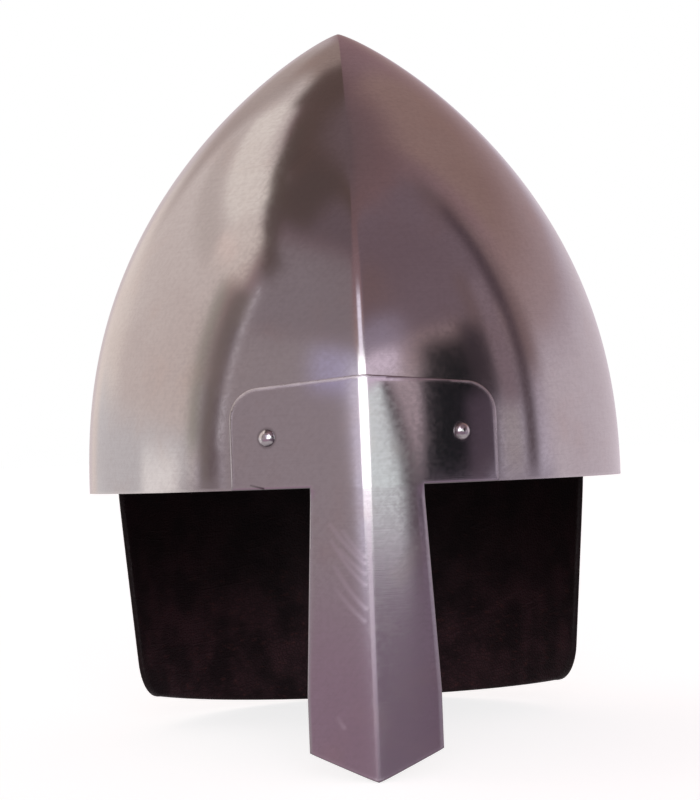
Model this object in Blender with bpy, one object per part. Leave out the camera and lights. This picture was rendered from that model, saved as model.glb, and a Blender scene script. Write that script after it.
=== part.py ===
"""A conical nasal helmet with a leather neck guard, in metres with +Z up.

The helmet faces -Y. The origin is the centre of the head opening, in the plane of the rim.
Angles round the bowl are counted from the ridge at the front, towards +X.
"""

import math

import bmesh
import bpy
from mathutils import Vector

# Skull: a bowl of elliptic plan that narrows to a point, with a ridge raised down its front
SKULL_WIDTH = 0.204
SKULL_LENGTH = 0.230
SKULL_HEIGHT = 0.1746
SKULL_WALL = 0.0016
SHOULDER_POWER = 2.31  # the higher, the longer the side stays upright above the rim
POINT_POWER = 0.844  # the lower, the blunter the point
RIDGE_RISE = 0.0084  # how far the ridge stands out of the ellipse at the rim
RIDGE_REACH = 0.080  # how far the ridge spreads to each side at the rim
RIDGE_FADE = 0.5  # share of the ridge that is gone at the point

# Nasal: brow wings that wrap the bowl, and a folded bar below the rim
NASAL_THICKNESS = 0.0015
WING_SPAN = 0.091
WING_HEIGHT = 0.0377  # above the rim, at the ridge
WING_DROP = 0.0028  # how much lower the top edge is where its corners begin
WING_CORNER = 0.011
BAR_WIDTH_AT_RIM = 0.0378
BAR_WIDTH_LOW = 0.0448
BAR_WIDEST = 0.070  # depth below the rim where the bar is widest
BAR_SHOULDER = 0.0897  # depth where the pointed end begins
BAR_LENGTH = 0.0996

# Neck guard: one piece of leather, riveted inside the rear of the rim
LEATHER_THICKNESS = 0.0026
GUARD_FRONT_ANGLE = math.radians(109.5)
GUARD_TUCK = 0.014  # how far it reaches up inside the skull
GUARD_DROP_MIDDLE = 0.0930
GUARD_DROP_CORNER = 0.0838
GUARD_CORNER = 0.015
GUARD_LEAN = math.radians(5.2)

# Rivets
RIVET_SHANK = 0.0020
NASAL_RIVET_HEAD = 0.0030
NASAL_RIVET_DOME = 0.0021
NASAL_RIVET_ACROSS = 0.0327
NASAL_RIVET_HEIGHT = 0.0175
NECK_RIVET_HEAD = 0.0032
NECK_RIVET_DOME = 0.0018
NECK_RIVET_HEIGHT = 0.0070
NECK_RIVET_COUNT = 5
NECK_RIVET_INSET = 0.013  # along the leather, from its front edge to the first rivet
PEEN_SHARE = 0.8  # size of the peened end inside, of the head's

# Clearances and facets
GAP = 0.0003
HOLE_CLEARANCE = 0.0003
MERGE = 0.00001
AROUND = 56
UPWARD = 16
RIVET_SIDES = 16
DOME_STEPS = 4
CORNER_STEPS = 5
HEM_STEPS = 6
WING_STEP = 0.006
BAR_STEP = 0.016
GUARD_STEP = 0.012
GUARD_ROW = 0.022

HALF_WIDTH = SKULL_WIDTH / 2
HALF_LENGTH = SKULL_LENGTH / 2
GUARD_RADIUS = (HALF_WIDTH + HALF_LENGTH) / 2 - SKULL_WALL - GAP
GUARD_HALF_CUT = (math.pi - GUARD_FRONT_ANGLE) * GUARD_RADIUS


def clear_scene():
    for item in list(bpy.data.objects):
        bpy.data.objects.remove(item, do_unlink=True)


def finish_of(name, colour, roughness, metallic):
    """A material with one Principled BSDF."""
    material = bpy.data.materials.new(name)
    material.use_nodes = True
    shader = material.node_tree.nodes["Principled BSDF"]
    shader.inputs["Base Color"].default_value = (*colour, 1.0)
    shader.inputs["Roughness"].default_value = roughness
    shader.inputs["Metallic"].default_value = metallic
    return material


def add_object(name, bm, material):
    """Turn a bmesh into a named object, smooth except at its real edges."""
    mesh = bpy.data.meshes.new(name)
    bm.to_mesh(mesh)
    bm.free()
    mesh.shade_smooth()
    mesh.set_sharp_from_angle(angle=math.radians(20.0))
    mesh.materials.append(material)
    item = bpy.data.objects.new(name, mesh)
    bpy.context.scene.collection.objects.link(item)
    return item


def thicken(item, thickness, side):
    """Give a sheet its wall: side 1 grows outwards, and side -1 grows inwards."""
    wall = item.modifiers.new("wall", "SOLIDIFY")
    wall.thickness = thickness
    wall.offset = side
    wall.use_even_offset = True


def drill(item, cutter):
    hole = item.modifiers.new("rivet holes", "BOOLEAN")
    hole.operation = "DIFFERENCE"
    hole.solver = "EXACT"
    hole.object = cutter


def rise_share(height):
    return min(max(height / SKULL_HEIGHT, 0.0), 1.0)


def narrowing(height):
    """Share of the rim's size that the bowl still has at a height."""
    return (1.0 - rise_share(height) ** SHOULDER_POWER) ** POINT_POWER


def ridge(across, height):
    """How far the ridge lifts the front of the bowl, at a distance across from its middle."""
    size = narrowing(height)
    if abs(across) >= RIDGE_REACH * size:
        return 0.0
    left = 1.0 - abs(across) / (RIDGE_REACH * size)
    fade = 1.0 - RIDGE_FADE * rise_share(height)
    return RIDGE_RISE * size * fade * left**3


def bowl_point(angle, height):
    """A point of the skull's outside. Below the rim the bowl's wall goes straight on down."""
    size = narrowing(height)
    across = HALF_WIDTH * size * math.sin(angle)
    if math.cos(angle) <= 0.0:
        return Vector((across, -HALF_LENGTH * size * math.cos(angle), height))
    ellipse = (HALF_LENGTH - RIDGE_RISE) * size * math.cos(angle)
    return Vector((across, -ellipse - ridge(across, height), height))


def bowl_normal(angle, height):
    """The direction out of the bowl, from two short steps across the surface."""
    turn = 0.001
    climb = 0.0001
    around = bowl_point(angle + turn, height) - bowl_point(angle - turn, height)
    upward = bowl_point(angle, height + climb) - bowl_point(angle, height - climb)
    return around.cross(upward).normalized()


def front_angle(across, height):
    """The angle at which the front of the bowl is that far from its middle."""
    return math.asin(across / (HALF_WIDTH * narrowing(height)))


def above_bowl(angle, height, distance):
    """A point a distance off the bowl. On the ridge it stays on the fold, clear of both sides."""
    if abs(math.sin(angle)) * HALF_WIDTH > MERGE or math.cos(angle) < 0.0:
        return bowl_point(angle, height) + bowl_normal(angle, height) * distance
    beside = bowl_normal(0.002, height)
    return bowl_point(0.0, height) + Vector((0.0, distance / beside.y, 0.0))


def arc(centre, radius, start, end):
    """Points on a corner's arc, with angles in degrees, in the flat of a blank."""
    points = []
    for step in range(CORNER_STEPS + 1):
        turn = math.radians(start + (end - start) * step / CORNER_STEPS)
        points.append((centre[0] + radius * math.cos(turn), centre[1] + radius * math.sin(turn)))
    return points


def cut_blank(half_outline, column_step, row_step):
    """A flat sheet in the XZ plane, sliced into columns and rows so that it can bend.

    The outline's right half runs upwards, from its lowest point in the middle to its highest.
    """
    left_half = [(-x, z) for x, z in reversed(half_outline) if x > 0.0]
    outline = half_outline + left_half
    bm = bmesh.new()
    bm.faces.new([bm.verts.new((x, 0.0, z)) for x, z in outline])
    widest = max(x for x, z in outline)
    lowest = min(z for x, z in outline)
    highest = max(z for x, z in outline)
    columns = math.ceil(widest / column_step)
    rows = math.ceil((highest - lowest) / row_step)
    cuts = [((widest * i / columns, 0.0, 0.0), (1.0, 0.0, 0.0)) for i in range(1 - columns, columns)]
    cuts += [
        ((0.0, 0.0, lowest + (highest - lowest) * i / rows), (0.0, 0.0, 1.0)) for i in range(1, rows)
    ]
    cuts.append(((0.0, 0.0, 0.0), (0.0, 0.0, 1.0)))
    for point, normal in cuts:
        everything = bm.verts[:] + bm.edges[:] + bm.faces[:]
        bmesh.ops.bisect_plane(bm, geom=everything, dist=MERGE, plane_co=point, plane_no=normal)
    return bm


def make_skull(material):
    bm = bmesh.new()
    bmesh.ops.create_grid(bm, x_segments=AROUND, y_segments=UPWARD, size=1.0)
    for vert in bm.verts:
        angle = math.pi * (vert.co.x + 1.0)
        climb = 1.0 - (1.0 - (vert.co.y + 1.0) / 2) ** 1.35
        vert.co = bowl_point(angle, SKULL_HEIGHT * climb)
    bmesh.ops.remove_doubles(bm, verts=bm.verts, dist=MERGE)
    skull = add_object("skull", bm, material)
    thicken(skull, SKULL_WALL, -1)
    return skull


def make_nasal(material):
    corner = (WING_SPAN / 2 - WING_CORNER, WING_HEIGHT - WING_DROP - WING_CORNER)
    half_outline = [
        (0.0, -BAR_LENGTH),
        (BAR_WIDTH_LOW / 2, -BAR_SHOULDER),
        (BAR_WIDTH_LOW / 2, -BAR_WIDEST),
        (BAR_WIDTH_AT_RIM / 2, 0.0),
        (WING_SPAN / 2, 0.0),
        *arc(corner, WING_CORNER, 0.0, 90.0),
        (0.0, WING_HEIGHT),
    ]
    bm = cut_blank(half_outline, WING_STEP, BAR_STEP)
    for vert in bm.verts:
        angle = front_angle(vert.co.x, vert.co.z)
        vert.co = above_bowl(angle, vert.co.z, GAP)
    nasal = add_object("nasal", bm, material)
    thicken(nasal, NASAL_THICKNESS, 1)
    return nasal


def guard_angle(along):
    """Where a point along the leather lies round the bowl, counted from the middle of the back."""
    return math.pi + along / GUARD_RADIUS


def guard_hem(half_length):
    """The lower edge of the leather, which rises in a shallow curve from the middle to the corner."""
    points = []
    for step in range(HEM_STEPS):
        share = step / HEM_STEPS
        rise = (GUARD_DROP_MIDDLE - GUARD_DROP_CORNER) * share**2
        points.append((half_length * share, rise - GUARD_DROP_MIDDLE))
    return points


def make_neck_guard(material):
    corner = (GUARD_HALF_CUT - GUARD_CORNER, GUARD_CORNER - GUARD_DROP_CORNER)
    half_outline = [
        *guard_hem(corner[0]),
        *arc(corner, GUARD_CORNER, -90.0, 0.0),
        (GUARD_HALF_CUT, GUARD_TUCK),
        (0.0, GUARD_TUCK),
    ]
    bm = cut_blank(half_outline, GUARD_STEP, GUARD_ROW)
    for vert in bm.verts:
        angle = guard_angle(vert.co.x)
        height = vert.co.z
        inset = SKULL_WALL + GAP + max(-height, 0.0) * math.tan(GUARD_LEAN)
        vert.co = bowl_point(angle, height) - bowl_normal(angle, height) * inset
    guard = add_object("neck_guard", bm, material)
    thicken(guard, LEATHER_THICKNESS, -1)
    return guard


def dome(radius, rise, seat):
    """Profile points of a domed end, from its tip to the edge of its seat."""
    points = []
    for step in range(DOME_STEPS + 1):
        turn = math.pi / 2 * step / DOME_STEPS
        points.append((radius * math.sin(turn), seat + rise * math.cos(turn)))
    return points


def make_rivet(name, material, place, normal, head, rise, grip):
    """A rivet whose head seats on the surface at place, and whose end is peened below the grip."""
    outer_end = dome(head, rise, GAP)
    inner_end = [(r, -grip - z) for r, z in dome(head * PEEN_SHARE, rise * PEEN_SHARE, GAP)]
    profile = outer_end + [(RIVET_SHANK, GAP), (RIVET_SHANK, -grip - GAP)] + inner_end[::-1]
    bm = bmesh.new()
    verts = [bm.verts.new((r, 0.0, z)) for r, z in profile]
    edges = [bm.edges.new(pair) for pair in zip(verts, verts[1:])]
    bmesh.ops.spin(
        bm,
        geom=verts + edges,
        axis=(0.0, 0.0, 1.0),
        cent=(0.0, 0.0, 0.0),
        angle=math.tau,
        steps=RIVET_SIDES,
        use_merge=True,
    )
    bmesh.ops.remove_doubles(bm, verts=bm.verts, dist=MERGE)
    bmesh.ops.recalc_face_normals(bm, faces=bm.faces)
    rivet = add_object(name, bm, material)
    rivet.location = place
    rivet.rotation_euler = normal.to_track_quat("Z", "Y").to_euler()
    return rivet


def make_hole_cutter(seats):
    """Cylinders on the rivets' axes, long enough to pass through every wall there."""
    reach = 0.020
    bm = bmesh.new()
    for place, normal in seats:
        drilled = bmesh.ops.create_cone(
            bm,
            cap_ends=True,
            segments=RIVET_SIDES,
            radius1=RIVET_SHANK + HOLE_CLEARANCE,
            radius2=RIVET_SHANK + HOLE_CLEARANCE,
            depth=reach,
        )["verts"]
        bmesh.ops.rotate(bm, verts=drilled, matrix=normal.to_track_quat("Z", "Y").to_matrix())
        bmesh.ops.translate(bm, verts=drilled, vec=place)
    cutter = add_object("rivet_hole_cutter", bm, finish_of("cutter", (1.0, 0.0, 0.0), 0.5, 0.0))
    cutter.hide_render = True
    cutter.display_type = "WIRE"
    return cutter


def nasal_rivet_seats():
    """Where the two rivets of the wings meet the nasal's outer face, and their directions."""
    seats = []
    for across in (-NASAL_RIVET_ACROSS, NASAL_RIVET_ACROSS):
        angle = front_angle(across, NASAL_RIVET_HEIGHT)
        normal = bowl_normal(angle, NASAL_RIVET_HEIGHT)
        place = bowl_point(angle, NASAL_RIVET_HEIGHT) + normal * (GAP + NASAL_THICKNESS)
        seats.append((place, normal))
    return seats


def neck_rivet_seats():
    """Where the rivets of the neck guard meet the skull's outside, from one ear to the other."""
    first = NECK_RIVET_INSET - GUARD_HALF_CUT
    seats = []
    for number in range(NECK_RIVET_COUNT):
        along = first * (1.0 - 2.0 * number / (NECK_RIVET_COUNT - 1))
        angle = guard_angle(along)
        place = bowl_point(angle, NECK_RIVET_HEIGHT)
        seats.append((place, bowl_normal(angle, NECK_RIVET_HEIGHT)))
    return seats


def build_helmet():
    clear_scene()
    skull_steel = finish_of("skull_steel", (0.56, 0.53, 0.53), 0.24, 1.0)
    nasal_steel = finish_of("nasal_steel", (0.52, 0.48, 0.50), 0.28, 1.0)
    rivet_steel = finish_of("rivet_steel", (0.60, 0.57, 0.57), 0.22, 1.0)
    dark_leather = finish_of("dark_leather", (0.012, 0.006, 0.005), 0.55, 0.0)

    skull = make_skull(skull_steel)
    nasal = make_nasal(nasal_steel)
    guard = make_neck_guard(dark_leather)

    nasal_seats = nasal_rivet_seats()
    neck_seats = neck_rivet_seats()
    cutter = make_hole_cutter(nasal_seats + neck_seats)
    for item in (skull, nasal, guard):
        drill(item, cutter)

    nasal_grip = NASAL_THICKNESS + GAP + SKULL_WALL
    for number, (place, normal) in enumerate(nasal_seats, start=1):
        name = f"nasal_rivet_{number}"
        make_rivet(name, rivet_steel, place, normal, NASAL_RIVET_HEAD, NASAL_RIVET_DOME, nasal_grip)
    neck_grip = SKULL_WALL + GAP + LEATHER_THICKNESS
    for number, (place, normal) in enumerate(neck_seats, start=1):
        name = f"neck_rivet_{number}"
        make_rivet(name, rivet_steel, place, normal, NECK_RIVET_HEAD, NECK_RIVET_DOME, neck_grip)


build_helmet()
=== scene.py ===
"""The finished look of a conical nasal helmet with a leather neck guard.

Metres, with +Z up. The helmet faces -Y, and the origin is the centre of the head opening.
Angles round the bowl are counted from the ridge at the front, towards +X.
"""
import math

import bmesh
import bpy
from mathutils import Matrix, Vector, noise


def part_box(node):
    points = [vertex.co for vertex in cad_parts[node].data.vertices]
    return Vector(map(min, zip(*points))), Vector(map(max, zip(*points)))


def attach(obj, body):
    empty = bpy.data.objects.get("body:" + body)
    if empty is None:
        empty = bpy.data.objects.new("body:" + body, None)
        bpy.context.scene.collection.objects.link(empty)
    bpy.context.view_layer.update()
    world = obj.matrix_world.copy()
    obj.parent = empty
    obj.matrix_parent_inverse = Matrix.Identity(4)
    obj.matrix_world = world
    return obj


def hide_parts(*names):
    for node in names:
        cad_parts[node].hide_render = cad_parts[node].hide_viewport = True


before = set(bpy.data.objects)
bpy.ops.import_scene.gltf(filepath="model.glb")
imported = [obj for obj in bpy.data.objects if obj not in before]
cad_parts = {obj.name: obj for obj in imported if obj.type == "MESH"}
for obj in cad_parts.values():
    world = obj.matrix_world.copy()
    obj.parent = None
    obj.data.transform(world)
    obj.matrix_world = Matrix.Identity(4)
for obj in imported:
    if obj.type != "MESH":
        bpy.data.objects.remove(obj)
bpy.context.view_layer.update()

SKULL_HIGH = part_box("skull")[1]
NASAL_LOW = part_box("nasal")[0]

# Clearances and facets
GAP = 0.0003
MERGE = 0.00001
CUT_MERGE = MERGE / 10
CORNER_STEPS = 12
EDGE_STEPS = 3
WEAR_REACH = 0.0018  # how far in from a plate's edge its wear reaches

# Skull
HALF_WIDTH = SKULL_HIGH.x
HALF_LENGTH = SKULL_HIGH.y
SKULL_HEIGHT = SKULL_HIGH.z
SKULL_WALL = 0.0016
SHOULDER_POWER = 2.31  # the higher, the longer the side stays upright above the rim
POINT_POWER = 0.844  # the lower, the blunter the point
RIDGE_RISE = 0.0084  # how far the ridge stands out of the ellipse at the rim
RIDGE_REACH = 0.080  # how far the ridge spreads to each side at the rim
RIDGE_FADE = 0.5  # share of the ridge that is gone at the point
RIDGE_ROUNDING = 0.0022
SKULL_COLUMNS = 288
SKULL_ROWS = 110
COLUMN_CROWDING = 0.7  # columns are closer together at the ridge
ROW_CROWDING = 1.35  # rows are closer together at the point
RIM_ROUNDING = 0.0004
RIM_STEPS = 2
RIM_ANGLE = math.radians(60.0)
WAVE_LENGTH = 0.052  # how far apart the hammer's soft hollows lie
WAVE_HEIGHT = 0.00006

# Nasal
NASAL_THICKNESS = 0.0015
WING_SPAN = 0.091
WING_HEIGHT = 0.0377
WING_DROP = 0.0028  # how much lower the top edge is where its corners begin
WING_CORNER = 0.011
BAR_WIDTH_AT_RIM = 0.0378
BAR_WIDTH_LOW = 0.0448
BAR_WIDEST = 0.070  # depth below the rim where the bar is widest
BAR_SHOULDER = 0.0897  # depth where the pointed end begins
BAR_LENGTH = 0.0996
NASAL_EDGE = 0.0003
NASAL_CELL = 0.0009
GROUND_REACH = 0.0026  # how far in the bar's long edges are ground down
GROUND_DROP = 0.00045
GROUND_FADE = 0.004  # depth below the rim by which the grinding is at its full
FILED_REACH = 0.0014  # how far in the other edges are filed
FILED_DROP = 0.00010

# Neck guard
LEATHER_THICKNESS = 0.0026
GUARD_FRONT_ANGLE = math.radians(109.5)
GUARD_TUCK = 0.014  # how far it reaches up inside the skull
GUARD_DROP_MIDDLE = 0.0930
GUARD_DROP_CORNER = 0.0838
GUARD_CORNER = 0.015
GUARD_LEAN = math.radians(5.2)
GUARD_RADIUS = (HALF_WIDTH + HALF_LENGTH) / 2 - SKULL_WALL - GAP
GUARD_HALF_CUT = (math.pi - GUARD_FRONT_ANGLE) * GUARD_RADIUS
GUARD_BEND = 0.006  # length over which the leather bends at the rim
LEATHER_EDGE = 0.0008
LEATHER_WEAR_REACH = WEAR_REACH * 2
LEATHER_CELL = 0.0022
HEM_STEPS = 16

# Rivets
RIVET_SHANK = 0.0020
NASAL_RIVET_HEAD = 0.0030
NASAL_RIVET_DOME = 0.0021
NASAL_RIVET_ACROSS = 0.0327
NASAL_RIVET_HEIGHT = 0.0175
NECK_RIVET_HEAD = 0.0032
NECK_RIVET_DOME = 0.0018
NECK_RIVET_HEIGHT = 0.0070
NECK_RIVET_COUNT = 5
NECK_RIVET_INSET = 0.013  # along the leather, from its front edge to the first rivet
PEEN_SHARE = 0.8  # size of the peened end inside, of the head's
RIVET_SIDES = 40
DOME_STEPS = 10
RIVET_CREASE = math.radians(50.0)
HAMMER_FLAT = 0.00007  # how deep the hammer's flats on a head are
HAMMER_SIZE = 0.0013  # how far apart they are

# Camera of the photograph
CAMERA_PLACE = Vector((-0.0330, -0.8961, 0.0092))
CAMERA_AIM = Vector((-0.00075, 0.0, 0.03227))
CAMERA_ROLL = math.radians(-2.188)
CAMERA_LENS = 104.26
CAMERA_SENSOR = 36.0


# The bowl's shape

def rise_share(height):
    return min(max(height / SKULL_HEIGHT, 0.0), 1.0)


def narrowing(height):
    """Share of the rim's size that the bowl still has at a height."""
    return (1.0 - rise_share(height) ** SHOULDER_POWER) ** POINT_POWER


def ridge(across, height):
    """How far the ridge lifts the front of the bowl. Its crest is a little rounded."""
    size = narrowing(height)
    if size < MERGE or abs(across) >= RIDGE_REACH * size:
        return 0.0
    aside = math.hypot(across, RIDGE_ROUNDING * size)
    left = max(1.0 - aside / (RIDGE_REACH * size), 0.0)
    fade = 1.0 - RIDGE_FADE * rise_share(height)
    return RIDGE_RISE * size * fade * left**3


def bowl_point(angle, height):
    """A point of the skull's outside. Below the rim the bowl's wall goes straight on down."""
    size = narrowing(height)
    across = HALF_WIDTH * size * math.sin(angle)
    if math.cos(angle) <= 0.0:
        return Vector((across, -HALF_LENGTH * size * math.cos(angle), height))
    ellipse = (HALF_LENGTH - RIDGE_RISE) * size * math.cos(angle)
    return Vector((across, -ellipse - ridge(across, height), height))


def bowl_normal(angle, height):
    """The direction out of the bowl, from two short steps across the surface."""
    turn = 0.002
    climb = 0.0001
    around = bowl_point(angle + turn, height) - bowl_point(angle - turn, height)
    upward = bowl_point(angle, height + climb) - bowl_point(angle, height - climb)
    if around.length < MERGE:
        return Vector((0.0, 0.0, 1.0))
    return around.cross(upward).normalized()


def front_angle(across, height):
    """The angle at which the front of the bowl is that far from its middle."""
    return math.asin(across / (HALF_WIDTH * narrowing(height)))


def waviness(point):
    """How far the hammered wall stands out at a point."""
    return WAVE_HEIGHT * noise.noise(point / WAVE_LENGTH)


def above_bowl(angle, height, distance):
    """A point that far off the hammered bowl."""
    point = bowl_point(angle, height)
    return point + bowl_normal(angle, height) * (distance + waviness(point))


# Blanks, cut flat and then bent

def arc(centre, radius, start, end):
    """Points on a corner's arc, with angles in degrees, in the flat of a blank."""
    points = []
    for step in range(CORNER_STEPS + 1):
        turn = math.radians(start + (end - start) * step / CORNER_STEPS)
        points.append((centre[0] + radius * math.cos(turn), centre[1] + radius * math.sin(turn)))
    return points


def whole_outline(half_outline):
    """Both halves of an outline, from its right half, which runs upwards."""
    left_half = [(-x, z) for x, z in reversed(half_outline) if x > 0.0]
    return half_outline + left_half


def segment_distance(x, z, start, end):
    run = Vector(end) - Vector(start)
    away = Vector((x, z)) - Vector(start)
    share = min(max(away.dot(run) / run.length_squared, 0.0), 1.0)
    return (away - run * share).length


def edge_distance(x, z, outline):
    """How far a point of the blank is from its nearest edge."""
    pairs = zip(outline, outline[1:] + outline[:1])
    return min(segment_distance(x, z, start, end) for start, end in pairs)


def cut_plate(outline, thickness, edge_radius):
    """A flat plate in the XZ plane, with its edges filed round. Its outer face is at y = thickness."""
    bm = bmesh.new()
    face = bm.faces.new([bm.verts.new((x, 0.0, z)) for x, z in outline])
    grown = bmesh.ops.extrude_face_region(bm, geom=[face])["geom"]
    raised = [item for item in grown if isinstance(item, bmesh.types.BMVert)]
    bmesh.ops.translate(bm, verts=raised, vec=(0.0, thickness, 0.0))
    bmesh.ops.recalc_face_normals(bm, faces=bm.faces)
    level = [edge for edge in bm.edges if edge.verts[0].co.y == edge.verts[1].co.y]
    bmesh.ops.bevel(
        bm,
        geom=level,
        offset=edge_radius,
        affect="EDGES",
        segments=EDGE_STEPS,
        profile=0.5,
        material=-1,
    )
    return bm


def slice_plate(bm, cell):
    """Cut a plate into columns and rows, so that it can bend."""
    low = [min(vert.co[axis] for vert in bm.verts) for axis in range(3)]
    high = [max(vert.co[axis] for vert in bm.verts) for axis in range(3)]
    for axis in (0, 2):
        normal = Vector((0.0, 0.0, 0.0))
        normal[axis] = 1.0
        count = math.ceil((high[axis] - low[axis]) / cell)
        for number in range(1, count):
            place = normal * (low[axis] + (high[axis] - low[axis]) * number / count)
            everything = bm.verts[:] + bm.edges[:] + bm.faces[:]
            bmesh.ops.bisect_plane(
                bm, geom=everything, dist=CUT_MERGE, plane_co=place, plane_no=normal
            )


def mark_wear(bm, outline, reach):
    """Store on each vertex how near it is to the plate's edge, from 0 to 1."""
    layer = bm.verts.layers.float.new("wear")
    for vert in bm.verts:
        distance = edge_distance(vert.co.x, vert.co.z, outline)
        vert[layer] = max(1.0 - distance / reach, 0.0)


def add_piece(name, bm, materials, nodes, sharp_angle=None):
    """Turn a bmesh into a named piece that stands for its CAD nodes."""
    mesh = bpy.data.meshes.new(name)
    bm.to_mesh(mesh)
    bm.free()
    mesh.shade_smooth()
    if sharp_angle is not None:
        mesh.set_sharp_from_angle(angle=sharp_angle)
    for material in materials:
        mesh.materials.append(material)
    piece = bpy.data.objects.new(name, mesh)
    bpy.context.scene.collection.objects.link(piece)
    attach(piece, "root")
    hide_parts(*nodes)
    return piece


# Pieces

def make_skull(outside, inside):
    bm = bmesh.new()
    bmesh.ops.create_grid(bm, x_segments=SKULL_COLUMNS, y_segments=SKULL_ROWS, size=1.0)
    for vert in bm.verts:
        turn = math.pi * (vert.co.x + 1.0)
        angle = turn - COLUMN_CROWDING * math.sin(turn)
        climb = 1.0 - (1.0 - (vert.co.y + 1.0) / 2) ** ROW_CROWDING
        vert.co = above_bowl(angle, SKULL_HEIGHT * climb, 0.0)
    bmesh.ops.remove_doubles(bm, verts=bm.verts, dist=MERGE)
    bmesh.ops.recalc_face_normals(bm, faces=bm.faces)
    skull = add_piece("skull_bowl", bm, [outside, inside], ["skull"])
    wall = skull.modifiers.new("wall", "SOLIDIFY")
    wall.thickness = SKULL_WALL
    wall.offset = -1
    wall.use_even_offset = True
    wall.material_offset = 1
    rim = skull.modifiers.new("filed rim", "BEVEL")
    rim.width = RIM_ROUNDING
    rim.segments = RIM_STEPS
    rim.limit_method = "ANGLE"
    rim.angle_limit = RIM_ANGLE
    rim.harden_normals = True
    return skull


def nasal_outline():
    corner = (WING_SPAN / 2 - WING_CORNER, WING_HEIGHT - WING_DROP - WING_CORNER)
    half_outline = [
        (0.0, -BAR_LENGTH),
        (BAR_WIDTH_LOW / 2, -BAR_SHOULDER),
        (BAR_WIDTH_LOW / 2, -BAR_WIDEST),
        (BAR_WIDTH_AT_RIM / 2, 0.0),
        (WING_SPAN / 2, 0.0),
        *arc(corner, WING_CORNER, 0.0, 90.0),
        (0.0, WING_HEIGHT),
    ]
    return whole_outline(half_outline)


def bar_half_width(height):
    """Half of the bar's width at a height below the rim."""
    depth = min(max(-height / BAR_WIDEST, 0.0), 1.0)
    return (BAR_WIDTH_AT_RIM + (BAR_WIDTH_LOW - BAR_WIDTH_AT_RIM) * depth) / 2


def ground_edge(across, height, inward):
    """How much is ground off the outer face: more along the bar's long edges than elsewhere."""
    edge_strength = max(1.0 - inward / FILED_REACH, 0.0) if height > FILED_REACH else 0.0
    near = min(max(1.0 - (bar_half_width(height) - abs(across)) / GROUND_REACH, 0.0), 1.0)
    fade = min(max(-height / GROUND_FADE, 0.0), 1.0)
    return max(FILED_DROP * edge_strength**2, GROUND_DROP * near**2 * fade)


def make_nasal(material):
    outline = nasal_outline()
    bm = cut_plate(outline, NASAL_THICKNESS, NASAL_EDGE)
    slice_plate(bm, NASAL_CELL)
    mark_wear(bm, outline, WEAR_REACH)
    for vert in bm.verts:
        across, depth, height = vert.co
        inward = edge_distance(across, height, outline)
        depth -= ground_edge(across, height, inward) * depth / NASAL_THICKNESS
        angle = front_angle(across, height)
        vert.co = above_bowl(angle, height, GAP + depth)
    bmesh.ops.recalc_face_normals(bm, faces=bm.faces)
    return add_piece("nasal_plate", bm, [material], ["nasal"])


def guard_angle(along):
    """Where a point along the leather lies round the bowl, counted from the middle of the back."""
    return math.pi + along / GUARD_RADIUS


def guard_outline():
    corner = (GUARD_HALF_CUT - GUARD_CORNER, GUARD_CORNER - GUARD_DROP_CORNER)
    hem = []
    for step in range(HEM_STEPS):
        share = step / HEM_STEPS
        rise = (GUARD_DROP_MIDDLE - GUARD_DROP_CORNER) * share**2
        hem.append((corner[0] * share, rise - GUARD_DROP_MIDDLE))
    half_outline = [
        *hem,
        *arc(corner, GUARD_CORNER, -90.0, 0.0),
        (GUARD_HALF_CUT, GUARD_TUCK),
        (0.0, GUARD_TUCK),
    ]
    return whole_outline(half_outline)


def guard_lean(height):
    """How far the hanging leather leans in at a height, with a soft bend at the rim."""
    below = (math.hypot(height, GUARD_BEND) - height) / 2
    return below * math.tan(GUARD_LEAN)


def make_neck_guard(material):
    outline = guard_outline()
    bm = cut_plate(outline, LEATHER_THICKNESS, LEATHER_EDGE)
    slice_plate(bm, LEATHER_CELL)
    mark_wear(bm, outline, LEATHER_WEAR_REACH)
    for vert in bm.verts:
        along, depth, height = vert.co
        angle = guard_angle(along)
        inset = SKULL_WALL + GAP + guard_lean(height) + LEATHER_THICKNESS - depth
        vert.co = bowl_point(angle, height) - bowl_normal(angle, height) * inset
    bmesh.ops.recalc_face_normals(bm, faces=bm.faces)
    return add_piece("neck_guard_leather", bm, [material], ["neck_guard"])


def dome(radius, rise, seat):
    """Profile points of a domed end, from its tip to the edge of its seat."""
    points = []
    for step in range(DOME_STEPS + 1):
        turn = math.pi / 2 * step / DOME_STEPS
        points.append((radius * math.sin(turn), seat + rise * math.cos(turn)))
    return points


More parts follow.
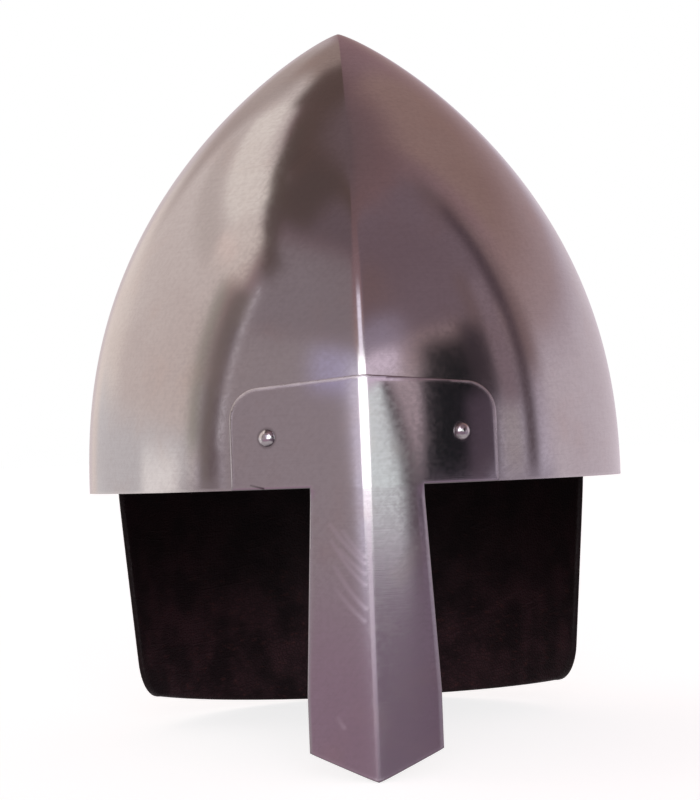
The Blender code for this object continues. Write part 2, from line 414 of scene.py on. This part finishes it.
def make_rivet(name, node, material, place, normal, head, rise, grip):
    """A rivet with a hammered head at place, and with its peened end below the grip."""
    outer_end = dome(head, rise, 0.0)
    inner_end = [(r, -grip - z) for r, z in dome(head * PEEN_SHARE, rise * PEEN_SHARE, 0.0)]
    profile = outer_end + [(RIVET_SHANK, 0.0), (RIVET_SHANK, -grip)] + inner_end[::-1]
    bm = bmesh.new()
    verts = [bm.verts.new((r, 0.0, z)) for r, z in profile]
    edges = [bm.edges.new(pair) for pair in zip(verts, verts[1:])]
    bmesh.ops.spin(
        bm,
        geom=verts + edges,
        axis=(0.0, 0.0, 1.0),
        cent=(0.0, 0.0, 0.0),
        angle=math.tau,
        steps=RIVET_SIDES,
        use_merge=True,
    )
    bmesh.ops.remove_doubles(bm, verts=bm.verts, dist=MERGE)
    bmesh.ops.recalc_face_normals(bm, faces=bm.faces)
    layer = bm.verts.layers.float.new("wear")
    for vert in bm.verts:
        vert[layer] = min(math.hypot(vert.co.x, vert.co.y) / head, 1.0)
        blow = noise.noise((vert.co + place) / HAMMER_SIZE)
        vert.co += vert.normal * HAMMER_FLAT * blow
    turned = normal.to_track_quat("Z", "Y").to_matrix()
    bmesh.ops.rotate(bm, verts=bm.verts, matrix=turned)
    bmesh.ops.translate(bm, verts=bm.verts, vec=place)
    return add_piece(name, bm, [material], [node], RIVET_CREASE)


def nasal_rivet_seats():
    """Where the rivets of the wings meet the nasal's outer face, and their directions."""
    seats = []
    for across in (-NASAL_RIVET_ACROSS, NASAL_RIVET_ACROSS):
        angle = front_angle(across, NASAL_RIVET_HEIGHT)
        place = above_bowl(angle, NASAL_RIVET_HEIGHT, GAP + NASAL_THICKNESS)
        seats.append((place, bowl_normal(angle, NASAL_RIVET_HEIGHT)))
    return seats


def neck_rivet_seats():
    """Where the rivets of the neck guard meet the skull's outside, from one ear to the other."""
    first = NECK_RIVET_INSET - GUARD_HALF_CUT
    seats = []
    for number in range(NECK_RIVET_COUNT):
        along = first * (1.0 - 2.0 * number / (NECK_RIVET_COUNT - 1))
        angle = guard_angle(along)
        place = above_bowl(angle, NECK_RIVET_HEIGHT, 0.0)
        seats.append((place, bowl_normal(angle, NECK_RIVET_HEIGHT)))
    return seats


# Shader maths

class Wire:
    """A socket of a node tree, on which shader maths is written as Python expressions."""

    def __init__(self, tree, socket=None):
        self.tree = tree
        self.socket = socket

    def make(self, kind, settings=None, sockets=None, output=0):
        """Add a node: its settings come first, then the values or links of its sockets."""
        node = self.tree.nodes.new(kind)
        for name, value in (settings or {}).items():
            if name == "stops":
                set_stops(node.color_ramp, value)
            else:
                setattr(node, name, value)
        for name, value in (sockets or {}).items():
            if isinstance(value, Wire):
                self.tree.links.new(value.socket, node.inputs[name])
            else:
                node.inputs[name].default_value = value
        return Wire(self.tree, node.outputs[output])

    def maths(self, operation, *values):
        return self.make("ShaderNodeMath", {"operation": operation}, dict(enumerate(values)))

    def __add__(self, other):
        return self.maths("ADD", self, other)

    __radd__ = __add__

    def __sub__(self, other):
        return self.maths("SUBTRACT", self, other)

    def __rsub__(self, other):
        return self.maths("SUBTRACT", other, self)

    def __mul__(self, other):
        return self.maths("MULTIPLY", self, other)

    __rmul__ = __mul__

    def __truediv__(self, other):
        return self.maths("DIVIDE", self, other)

    def __pow__(self, other):
        return self.maths("POWER", self, other)

    def step(self, start, end):
        """0 where the value is below start, 1 above end, and a smooth change between them."""
        return self.make(
            "ShaderNodeMapRange",
            {"interpolation_type": "SMOOTHSTEP"},
            {"Value": self, "From Min": start, "From Max": end},
        )

    def band(self, start, end, soft):
        """1 between start and end, with soft edges."""
        half = soft / 2
        return self.step(start - half, start + half) * (1 - self.step(end - half, end + half))

    def blend(self, first, second):
        """The first colour where this share is 0, and the second where it is 1."""
        colours = {0: self, 6: first, 7: second}
        return self.make("ShaderNodeMix", {"data_type": "RGBA"}, colours, 2)

    def paint(self, share, colour):
        """This colour, with another laid over it by a share from 0 to 1."""
        return share.blend(self, colour)

    def axis(self, name):
        """The X, Y or Z of a place or direction."""
        return self.make("ShaderNodeSeparateXYZ", None, {0: self}, name)

    def stored_wear(self):
        """The wear that is stored on the piece, from 0 to 1."""
        return self.make("ShaderNodeAttribute", {"attribute_name": "wear"}, None, "Fac")


def set_stops(ramp, stops):
    """Give a colour ramp its stops: pairs of a position and a colour."""
    while len(ramp.elements) < len(stops):
        ramp.elements.new(0.5)
    for element, (position, colour) in zip(ramp.elements, stops):
        element.position = position
        element.color = colour


def colour(red, green, blue):
    return (red, green, blue, 1.0)


def new_material(name, metallic, specular=0.5):
    """A material, its Principled shader, and a wire to write its maths on."""
    material = bpy.data.materials.new(name)
    material.use_nodes = True
    shader = material.node_tree.nodes["Principled BSDF"]
    shader.inputs["Metallic"].default_value = metallic
    shader.inputs["Specular IOR Level"].default_value = specular
    return material, shader, Wire(material.node_tree)


def connect(wire, shader, name):
    wire.tree.links.new(wire.socket, shader.inputs[name])


def object_place(wire):
    return wire.make("ShaderNodeTexCoord", output="Object")


def mapped(place, scale, turn=(0.0, 0.0, 0.0)):
    """The place, turned and then stretched, so that a pattern can run in one direction."""
    turned = place.make("ShaderNodeMapping", None, {"Vector": place, "Rotation": turn})
    return turned.make("ShaderNodeMapping", None, {"Vector": turned, "Scale": scale})


def cloud(place, size, detail=3.0):
    """Soft noise about 0.5, with patches about as wide as size."""
    sockets = {"Vector": place, "Scale": 1.0 / size, "Detail": detail}
    return place.make("ShaderNodeTexNoise", None, sockets)


def fine_lines(place, length, width, turn):
    """Streaks of that length and width, which run across the turned Z direction."""
    stretched = mapped(place, (1.0 / length, 1.0 / length, 1.0 / width), turn)
    return place.make("ShaderNodeTexNoise", None, {"Vector": stretched, "Scale": 1.0, "Detail": 2.0})


def scratches(place, length, width, turn):
    """Sparse thin scratches in one direction, from 0 to 1."""
    return fine_lines(place, length, width, turn).step(*SPARSE)


def ring_round(place, centre, start, end):
    """1 close to a point, and 0 past end."""
    away = place.make(
        "ShaderNodeVectorMath", {"operation": "DISTANCE"}, {0: place, 1: centre}, "Value"
    )
    return 1 - away.step(start, end)


def line_mark(x, z, start, end, width, bow=0.0):
    """A single thin mark on the front, between two points given as (x, z), stronger at its end.

    Its middle hangs below the straight line by bow.
    """
    run = Vector(end) - Vector(start)
    aside = x - start[0]
    above = z - start[1]
    along = (aside * run.x + above * run.y) / run.length
    share = along / run.length
    share = share.maths("MINIMUM", share.maths("MAXIMUM", share, 0.0), 1.0)
    off = (above * run.x - aside * run.y) / run.length + 4.0 * bow * share * (1 - share)
    past = along - share * run.length
    distance = (off**2 + past**2) ** 0.5
    return (1 - distance.step(0.0, width)) * (SCRATCH_START + (1 - SCRATCH_START) * share)


def bump(wire, height, strength, distance):
    sockets = {"Height": height, "Strength": strength, "Distance": distance}
    return wire.make("ShaderNodeBump", None, sockets, "Normal")


# Materials

# Colours that are painted over the steel
RIVET_RING_DARK = colour(0.10, 0.08, 0.08)
WARM_BLOOM = colour(0.57, 0.475, 0.44)
LINE_SHADE = colour(0.36, 0.33, 0.33)
SPECK_SHADE = colour(0.38, 0.34, 0.35)
SCRATCH_SHINE = colour(0.78, 0.75, 0.75)
WORN_RIM = colour(0.72, 0.69, 0.68)
# Wear, and a painted highlight, on the nasal's edges
EDGE_WEAR_AND_HIGHLIGHT = colour(0.95, 0.91, 0.93)
EDGE_SHADE = colour(0.17, 0.14, 0.15)
LONG_SCRATCH_SHINE = colour(0.95, 0.90, 0.94)
NICK_SHADE = colour(0.04, 0.03, 0.03)
RIVET_EDGE_DARK = colour(0.12, 0.10, 0.11)
PIT_SHADE = colour(0.07, 0.045, 0.035)

# How wide the patches in the finishes are
TARNISH_SIZE = 0.050
BLOOM_SIZE = 0.017
SPECKLE_SIZE = 0.0016
FILING_SIZE = 0.006
RIVET_PATCH_SIZE = 0.0022
FIRE_SCALE_SIZE = 0.016
PIT_SIZE = 0.0022
DYE_SIZE = 0.015
SCUFF_SIZE = 0.004

# Fine lines in the finishes: their length, width and turn
ROUND_LINES = (0.014, 0.00030, (0.0, 0.0, 0.0))
SLANT_LINES = (0.010, 0.00026, (0.5, 0.7, 0.0))
SHORT_SCRATCHES = (0.010, 0.00016, (0.9, 0.3, 0.0))
LONG_SCRATCHES = (0.013, 0.00015, (-0.6, 0.4, 0.5))
INSIDE_LINES = (0.020, 0.0005, (0.0, 0.0, 0.0))
CREASES = (0.024, 0.0016, (0.25, 0.3, 0.0))
SPARSE = (0.69, 0.75)  # only the few lines whose noise is past this are seen as scratches

# How strong and how high the relief of each finish is
SATIN_RELIEF = (0.11, 0.00004)
INSIDE_RELIEF = (0.25, 0.0001)
LEATHER_RELIEF = (0.55, 0.00022)

# Heights and distances over which the rim's wear and the darker rings round the rivets fade out
RIM_WEAR = (0.0002, 0.0014)
SKULL_RING_REACH = (0.0030, 0.0052)
NASAL_RING_REACH = (0.0029, 0.0042)

# The leather's grain: pores and warps for each metre, and how far the warps reach; and the heights over
# which painted shade darkens the leather towards the top
PORES = 720.0
WARPS = 220.0
WARP_REACH = 0.0012
TOP_SHADE_HEIGHTS = (-0.075, -0.015)


def satin_steel(name, clean, tarnished, polish, extra):
    """Hand-polished steel: satin lines in two directions, a few scratches, and a faint tarnish.

    Polish is its lowest roughness, and extra adds what only one of the pieces has.
    """
    material, shader, wire = new_material(name, 1.0)
    place = object_place(wire)
    tarnish = cloud(place, TARNISH_SIZE).step(0.38, 0.74)
    bloom = cloud(place, BLOOM_SIZE, 4.0).step(0.50, 0.80)
    speckle = cloud(place, SPECKLE_SIZE).step(0.38, 0.66)
    round_lines = fine_lines(place, *ROUND_LINES)
    slant_lines = fine_lines(place, *SLANT_LINES)
    satin = (round_lines + slant_lines) * 0.5
    short_marks = scratches(place, *SHORT_SCRATCHES)
    marks = wire.maths("MAXIMUM", short_marks, scratches(place, *LONG_SCRATCHES))
    tone = (tarnish * 0.6).blend(clean, tarnished)
    tone = tone.paint(bloom * 0.30, WARM_BLOOM)
    tone = tone.paint(satin.step(0.42, 0.68) * 0.16, LINE_SHADE)
    tone = tone.paint(speckle * 0.14, SPECK_SHADE)
    tone = tone.paint(marks * 0.14, SCRATCH_SHINE)
    rough = polish + 0.03 * tarnish + 0.03 * bloom + 0.05 * satin + 0.03 * speckle + 0.03 * marks
    height = 0.5 * round_lines + 0.35 * slant_lines + 0.14 * speckle - 0.12 * marks
    tone, rough = extra(place, tone, rough)
    connect(tone, shader, "Base Color")
    connect(rough, shader, "Roughness")
    connect(bump(wire, height, *SATIN_RELIEF), shader, "Normal")
    return material


def rim_finish(seats):
    """Wear at the rim, and a dark ring round each rivet, on the skull."""

    def add(place, tone, rough):
        level = place.axis("Z")
        lighter_edge = 1 - level.step(*RIM_WEAR)
        tone = tone.paint(lighter_edge * 0.5, WORN_RIM)
        rough = rough + 0.12 * lighter_edge
        for seat, _ in seats:
            # A darker ring round each rivet's head
            dark_ring = ring_round(place, seat, *SKULL_RING_REACH)
            tone = tone.paint(dark_ring * 0.6, RIVET_RING_DARK)
            rough = rough + 0.15 * dark_ring
        return tone, rough

    return add


SCRATCH_WIDTH = 0.0014
SCRATCH_START = 0.45  # how strong a scratch is where it starts

# Long scratches on the left of the bar: start and end as (x, z), and how far each bows down
NASAL_SCRATCHES = [
    ((-0.0131, -0.0127), (-0.0024, -0.0258), 0.0004),
    ((-0.0089, -0.0150), (-0.0024, -0.0235), 0.0003),
    ((-0.0127, -0.0184), (-0.0024, -0.0330), 0.0007),
    ((-0.0101, -0.0212), (-0.0024, -0.0292), 0.0003),
    ((-0.0120, -0.0269), (-0.0024, -0.0410), 0.0007),
    ((-0.0116, -0.0347), (-0.0030, -0.0452), 0.0004),
    ((-0.0129, -0.0779), (-0.0110, -0.0809), 0.0001),
]

# A nick at the left wing's lower edge: start and end as (x, z)
NICK = ((-0.0395, 0.0016), (-0.0352, 0.0004))
NICK_WIDTH = 0.0006


def nasal_finish(seats):
    """The nasal's worn edges, with a painted highlight at the top and the right corner and painted
    shade at their very edge, its long slanting scratches, and dark rings round its rivets.
    """

    def add(place, tone, rough):
        wear = place.stored_wear()
        x = place.axis("X")
        z = place.axis("Z")
        # The edges are worn lighter all round, and a painted highlight lightens them most on the left
        # half of the top edge and at the right wing's corner
        top = z.step(0.026, 0.034) * (1 - x.step(-0.004, 0.006))
        corner = 0.5 * x.step(0.028, 0.036) * z.step(0.012, 0.022)
        edge_strength = 0.20 + 0.80 * (top + corner) * (0.3 + 1.3 * cloud(place, FILING_SIZE))
        lighter_edge = wear.step(0.05, 0.75) * edge_strength
        # Wear all round, with a painted highlight where the edge strength is raised
        tone = tone.paint(lighter_edge * 0.7, EDGE_WEAR_AND_HIGHLIGHT)
        rough = rough + 0.36 * lighter_edge
        # Painted shade along the plate's very edge, weaker where the edge is painted lighter
        edge = wear.step(0.76, 0.94) * (1.25 - edge_strength)
        tone = tone.paint(edge * 0.74, EDGE_SHADE)
        for start, end, bow in NASAL_SCRATCHES:
            mark = line_mark(x, z, start, end, SCRATCH_WIDTH, bow)
            tone = tone.paint(mark * 0.25, LONG_SCRATCH_SHINE)
            rough = rough + 0.09 * mark
        nick = line_mark(x, z, *NICK, NICK_WIDTH)
        tone = tone.paint(nick * 0.8, NICK_SHADE)
        for seat, _ in seats:
            # A darker ring round each rivet's head
            dark_ring = ring_round(place, seat, *NASAL_RING_REACH)
            tone = tone.paint(dark_ring * 0.45, RIVET_RING_DARK)
            rough = rough + 0.10 * dark_ring
        return tone, rough

    return add


def rivet_finish(place, tone, rough):
    """Polished on top of the head, and dark towards its edge."""
    wear = place.stored_wear()
    patchy = cloud(place, RIVET_PATCH_SIZE, 2.0).step(0.36, 0.62)
    darker_edge = wear.step(0.62, 1.0) * patchy
    # Darker in patches towards the head's edge
    tone = tone.paint(darker_edge * 0.85, RIVET_EDGE_DARK)
    return tone, rough + 0.2 * darker_edge


def raw_steel():
    """The skull's inside, which was left dark from the fire and only brushed."""
    material, shader, wire = new_material("forge_dark_steel", 1.0)
    place = object_place(wire)
    scale = cloud(place, FIRE_SCALE_SIZE, 5.0).step(0.35, 0.70)
    pits = cloud(place, PIT_SIZE).step(0.58, 0.72)
    lines = fine_lines(place, *INSIDE_LINES)
    tone = scale.blend(colour(0.26, 0.235, 0.23), colour(0.12, 0.10, 0.095))
    tone = tone.paint(pits * 0.5, PIT_SHADE)
    connect(tone, shader, "Base Color")
    connect(0.48 + 0.10 * scale + 0.10 * pits, shader, "Roughness")
    connect(bump(wire, 0.5 * lines - pits, *INSIDE_RELIEF), shader, "Normal")
    return material


def dark_leather():
    """Thick leather, dyed nearly black, with pores, creases and burnished edges."""
    material, shader, wire = new_material("dark_neck_leather", 0.0, specular=0.14)
    place = object_place(wire)
    warped = wire.make(
        "ShaderNodeTexNoise", None, {"Vector": place, "Scale": WARPS, "Detail": 2.0}, "Color"
    )
    shifted = wire.make(
        "ShaderNodeVectorMath",
        {"operation": "MULTIPLY_ADD"},
        {0: warped, 1: (WARP_REACH, WARP_REACH, WARP_REACH), 2: place},
        "Vector",
    )
    cells = wire.make(
        "ShaderNodeTexVoronoi",
        {"feature": "DISTANCE_TO_EDGE"},
        {"Vector": shifted, "Scale": PORES},
        "Distance",
    )
    grain = cells.step(0.0, 0.22)
    top_shade = place.axis("Z").step(*TOP_SHADE_HEIGHTS)
    dye = cloud(place, DYE_SIZE, 5.0).step(0.36, 0.68)
    scuffs = cloud(mapped(place, (1.0, 1.0, 2.2)), SCUFF_SIZE, 4.0).step(0.56, 0.72)
    creases = fine_lines(place, *CREASES).step(0.60, 0.70)
    wear = wire.stored_wear().step(0.5, 1.0)
    tone = dye.blend(colour(0.0105, 0.0043, 0.0060), colour(0.033, 0.0125, 0.0165))
    tone = tone.paint(scuffs * 0.5, colour(0.062, 0.021, 0.021))
    # Painted shade: the leather is darker towards the top, inside the bowl
    tone = tone.paint(top_shade * 0.78, colour(0.0030, 0.0014, 0.0016))
    tone = tone.paint((1 - grain) * 0.5, colour(0.004, 0.002, 0.002))
    tone = tone.paint(wear * 0.6, colour(0.006, 0.003, 0.003))
    connect(tone, shader, "Base Color")
    connect(0.62 - 0.10 * dye + 0.12 * scuffs - 0.22 * wear, shader, "Roughness")
    height = grain + 0.8 * creases - 0.5 * scuffs
    connect(bump(wire, height, *LEATHER_RELIEF), shader, "Normal")
    return material


# The room, whose light and reflections the polished steel shows

# Soft patches, each painted over those before it: what it is, its colour, from and to azimuth, from and
# to elevation, and its softness, in degrees. Some also lean, by degrees of azimuth for each degree up.
# Azimuth 0 is towards the camera, and azimuth turns towards +X.
ROOM = [
    ("warm wall", (0.39, 0.255, 0.235), 100, 152, 36, 66, 14),
    ("pale foot of the wall", (0.76, 0.66, 0.72), 92, 178, -4, 16, 12),
    ("end of the far wall", (0.74, 0.64, 0.65), -176, -140, -25, 60, 14),
    ("far wall", (0.88, 0.77, 0.73), -160, -76.5, -25, 64.5, 4),
    ("sunny end of it", (0.98, 0.86, 0.80), -160, -132, 4, 20, 12),
    ("sunny band under the ceiling", (1.10, 1.00, 0.93), -142, -82, 48, 61, 4),
    ("curtain rail", (0.76, 0.66, 0.62), -142, -93, 38, 46, 5),
    ("edge of the window", (0.96, 0.84, 0.78), -91, -68.5, 39, 53, 5),
    ("glint on the rail", (1.06, 0.88, 0.81), -94, -80, 42, 46, 4),
    ("lower wall", (0.80, 0.76, 0.77), -150, -78, -25, 7, 7),
    ("sill", (1.18, 1.12, 1.10), -106, -84, -6, 3.5, 6),
    ("doorway", (0.58, 0.48, 0.45), -170, -146, 24, 56, 12),
    ("wall's far end up high", (0.44, 0.33, 0.30), -200, -156, 46, 64, 10),
    ("ceiling", (0.15, 0.10, 0.09), -138, -18, 66, 120, 3),
    ("ceiling's far end", (0.15, 0.10, 0.09), -200, -138, 61.5, 120, 5),
    ("ceiling overhead", (0.20, 0.14, 0.15), -200, -18, 76, 120, 9),
    ("dim side", (0.42, 0.35, 0.37), -65, -24, -6, 30, 4),
    ("dim side above", (0.33, 0.27, 0.295), -63.5, -24, 29, 54, 8),
    ("shade above it", (0.20, 0.145, 0.165), -66, -20, 54, 68, 9),
    ("dark over the frame", (0.135, 0.095, 0.09), -84, -52, 57, 74, 6),
    ("slope of the ceiling", (0.125, 0.085, 0.08), -62.0, -54, 46, 70, 3.5, -1.7),
    ("rounded end of the slope", (0.135, 0.095, 0.085), -85, -62, 59, 70, 3.5, -4),
    ("green edge of the wall", (0.45, 0.42, 0.37), -80, -74.5, 4, 38, 5),
    ("frame", (0.24, 0.19, 0.18), -75.5, -66.5, -4, 38, 3, 0.1),
    ("frame's side", (0.17, 0.12, 0.135), -70.5, -67, 0, 30, 2.5, 0.16),
    ("frame's bright edge", (0.95, 0.88, 0.95), -66.8, -65.5, 5, 40, 0.9, 0.15),
    ("frame's dark top", (0.135, 0.095, 0.09), -63.5, -56.5, 43, 60, 4, -0.7),
    ("dim corner", (0.24, 0.17, 0.20), 20, 84, 29, 64, 5),
    ("shade by the door", (0.29, 0.195, 0.20), 84, 93, 14, 54, 9),
    ("cupboard's upper part", (0.02, 0.02, 0.022), 46.5, 62, 10, 26.5, 5),
    ("cupboard", (0.015, 0.016, 0.018), 44.8, 62, -0.8, 19.5, 1.5),
    ("cupboard's top", (0.06, 0.045, 0.055), 60, 70.5, 11, 29, 4),
    ("cupboard's side", (0.115, 0.085, 0.11), 56, 67.5, -0.8, 13, 4),
    ("pale door frame", (0.50, 0.43, 0.46), 69, 77.5, -0.5, 10, 3),
    ("dim door frame", (0.31, 0.225, 0.26), 70.5, 79, 10, 36, 3),
    ("faint upper end of the gap", (0.20, 0.135, 0.145), 80.5, 90, 48, 60, 8),
    ("gap of the door", (0.105, 0.07, 0.085), 78.7, 85, -0.5, 52, 4, 0.06),
    ("dim strip over the cupboard", (0.23, 0.155, 0.165), 65, 71, 27, 39, 5, 0.1),
    ("dim patch up in the corner", (0.25, 0.165, 0.175), 24, 44, 37, 50, 8),
    ("glow on the left", (0.56, 0.50, 0.70), -39, 0, 18, 28, 6),
    ("sleeve on the left", (0.92, 0.86, 1.00), -29.5, 0, -2.5, 25, 8),
    ("glow over the sleeve", (0.38, 0.31, 0.40), 0, 44, 26, 35, 6),
    ("pale band over the sleeve", (0.98, 0.82, 0.98), 0, 41.5, 20, 27, 2.5),
    ("floor on the left", (0.39, 0.27, 0.34), -64, 0, -30, -3.6, 3),
    ("floor by the wall", (0.40, 0.34, 0.38), -85, -64, -30, -0.8, 4),
    ("floor on the right", (0.26, 0.19, 0.25), 40.5, 62, -30, -0.9, 2),
    ("foot of the door frame", (0.34, 0.28, 0.35), 62, 95, -30, -0.8, 6),
    ("floor in front", (0.27, 0.20, 0.26), 0, 41.5, -30, -2.4, 2.5),
    ("hem of the sleeve", (0.74, 0.68, 0.74), 0, 42.5, -2.6, 1.0, 1.6),
    ("right post", (0.60, 0.48, 0.51), 34, 44.8, -1.4, 20.5, 1.0),
    ("seam of the sleeve", (0.08, 0.05, 0.06), 41.6, 45.2, -2.2, 19.8, 1.0, -0.31),
    ("sleeve on the right", (1.04, 1.14, 1.12), 0, 42.0, -1.5, 19.5, 1.0, -0.31),
    ("collar", (1.3, 1.2, 1.4), -10, 10, 27, 46, 6),
    ("hem", (0.84, 0.73, 0.85), -9, 9, -6, 2, 6),
    ("white shirt", (3.2, 3.2, 3.3), -16, 16, -0.75, 28, 2.5),
]

# The wall behind the patches: elevation in degrees, and colour
WALL_STOPS = [
    (-90.0, (0.50, 0.46, 0.48)),
    (-14.0, (0.50, 0.46, 0.48)),
    (2.0, (0.74, 0.66, 0.79)),
    (12.0, (0.60, 0.51, 0.61)),
    (22.0, (0.51, 0.38, 0.40)),
    (33.0, (0.42, 0.285, 0.285)),
    (45.0, (0.36, 0.225, 0.245)),
    (56.0, (0.33, 0.21, 0.23)),
    (68.0, (0.25, 0.155, 0.165)),
    (82.0, (0.195, 0.135, 0.145)),
]
BACKDROP = 1.0  # what the camera itself sees round the helmet

FLOOR_RADIUS = 4.0
FLOOR_SIDES = 96
FLOOR_TONE = 0.55
FLOOR_GLOW = 0.78


def light_room():
    """Light the scene by a plain room with soft edges. The camera itself sees a plain pale backdrop."""
    world = bpy.data.worlds.new("room")
    world.use_nodes = True
    bpy.context.scene.world = world
    tree = world.node_tree
    background = tree.nodes["Background"]
    wire = Wire(tree)
    direction = wire.make("ShaderNodeTexCoord", output="Generated")
    rightward = direction.axis("X")
    forward = 0 - direction.axis("Y")
    upward = direction.axis("Z")
    azimuth = wire.maths("ARCTAN2", rightward, forward) * math.degrees(1.0)
    elevation = wire.maths("ARCSINE", upward) * math.degrees(1.0)
    stops = [((degrees + 90.0) / 180.0, colour(*tone)) for degrees, tone in WALL_STOPS]
    share = (elevation + 90.0) / 180.0
    room = wire.make("ShaderNodeValToRGB", {"stops": stops}, {"Fac": share})
    for _, tone, left, right, low, high, soft, *lean in ROOM:
        across = azimuth - (elevation - low) * lean[0] if lean else azimuth
        mask = across.band(left, right, soft) * elevation.band(low, high, soft)
        room = room.paint(mask, colour(*tone))
    seen = wire.make("ShaderNodeLightPath", output="Is Camera Ray")
    room = room.paint(seen, colour(BACKDROP, BACKDROP, BACKDROP))
    tree.links.new(room.socket, background.inputs["Color"])


def make_floor():
    """A pale floor under the nasal's tip and the guard's hem, which is clear when seen from below."""
    front = Vector((0.0, -HALF_LENGTH, NASAL_LOW.z))
    back = Vector((0.0, HALF_LENGTH, -GUARD_DROP_MIDDLE))
    tilt = math.atan2(back.z - front.z, back.y - front.y)
    bm = bmesh.new()
    bmesh.ops.create_circle(bm, cap_ends=True, segments=FLOOR_SIDES, radius=FLOOR_RADIUS)
    bmesh.ops.rotate(bm, verts=bm.verts, matrix=Matrix.Rotation(tilt, 3, "X"))
    bmesh.ops.translate(bm, verts=bm.verts, vec=(front + back) / 2)
    for face in bm.faces:
        face.normal_update()
        if face.normal.z < 0.0:
            face.normal_flip()
    mesh = bpy.data.meshes.new("floor")
    bm.to_mesh(mesh)
    bm.free()
    material, shader, wire = new_material("pale_floor", 0.0, specular=0.0)
    shader.inputs["Base Color"].default_value = colour(FLOOR_TONE, FLOOR_TONE, FLOOR_TONE)
    shader.inputs["Roughness"].default_value = 1.0
    shader.inputs["Emission Color"].default_value = colour(1.0, 1.0, 1.0)
    shader.inputs["Emission Strength"].default_value = FLOOR_GLOW
    nodes = material.node_tree.nodes
    below = wire.make("ShaderNodeNewGeometry", output="Backfacing")
    clear = wire.make("ShaderNodeBsdfTransparent")
    solid = Wire(material.node_tree, shader.outputs["BSDF"])
    surface = wire.make("ShaderNodeMixShader", None, {0: below, 1: solid, 2: clear})
    connect(surface, nodes["Material Output"], "Surface")
    mesh.materials.append(material)
    floor = bpy.data.objects.new("floor", mesh)
    bpy.context.scene.collection.objects.link(floor)
    floor.visible_glossy = False


def place_camera():
    data = bpy.data.cameras.new("camera")
    data.lens = CAMERA_LENS
    data.sensor_width = CAMERA_SENSOR
    forward = (CAMERA_AIM - CAMERA_PLACE).normalized()
    level = forward.cross(Vector((0.0, 0.0, 1.0))).normalized()
    upright = level.cross(forward)
    right = level * math.cos(CAMERA_ROLL) + upright * math.sin(CAMERA_ROLL)
    up = upright * math.cos(CAMERA_ROLL) - level * math.sin(CAMERA_ROLL)
    turned = Matrix((right, up, -forward)).transposed().to_4x4()
    camera = bpy.data.objects.new("camera", data)
    camera.matrix_world = Matrix.Translation(CAMERA_PLACE) @ turned
    bpy.context.scene.collection.objects.link(camera)
    bpy.context.scene.camera = camera


def build_helmet():
    nasal_seats = nasal_rivet_seats()
    neck_seats = neck_rivet_seats()
    skull_steel = satin_steel(
        "satin_skull_steel",
        clean=colour(0.58, 0.555, 0.555),
        tarnished=colour(0.50, 0.455, 0.45),
        polish=0.080,
        extra=rim_finish(neck_seats),
    )
    nasal_steel = satin_steel(
        "satin_nasal_steel",
        clean=colour(0.56, 0.53, 0.55),
        tarnished=colour(0.48, 0.42, 0.45),
        polish=0.060,
        extra=nasal_finish(nasal_seats),
    )
    rivet_steel = satin_steel(
        "polished_rivet_steel",
        clean=colour(0.66, 0.63, 0.64),
        tarnished=colour(0.55, 0.50, 0.50),
        polish=0.09,
        extra=rivet_finish,
    )
    make_skull(skull_steel, raw_steel())
    make_nasal(nasal_steel)
    make_neck_guard(dark_leather())
    grip = NASAL_THICKNESS + GAP + SKULL_WALL
    for number, (place, normal) in enumerate(nasal_seats, start=1):
        make_rivet(
            f"nasal_rivet_head_{number}",
            f"nasal_rivet_{number}",
            rivet_steel,
            place,
            normal,
            NASAL_RIVET_HEAD,
            NASAL_RIVET_DOME,
            grip,
        )
    grip = SKULL_WALL + GAP + LEATHER_THICKNESS
    for number, (place, normal) in enumerate(neck_seats, start=1):
        make_rivet(
            f"neck_rivet_head_{number}",
            f"neck_rivet_{number}",
            rivet_steel,
            place,
            normal,
            NECK_RIVET_HEAD,
            NECK_RIVET_DOME,
            grip,
        )


place_camera()
light_room()
make_floor()
build_helmet()
bpy.context.scene.view_settings.view_transform = "Standard"
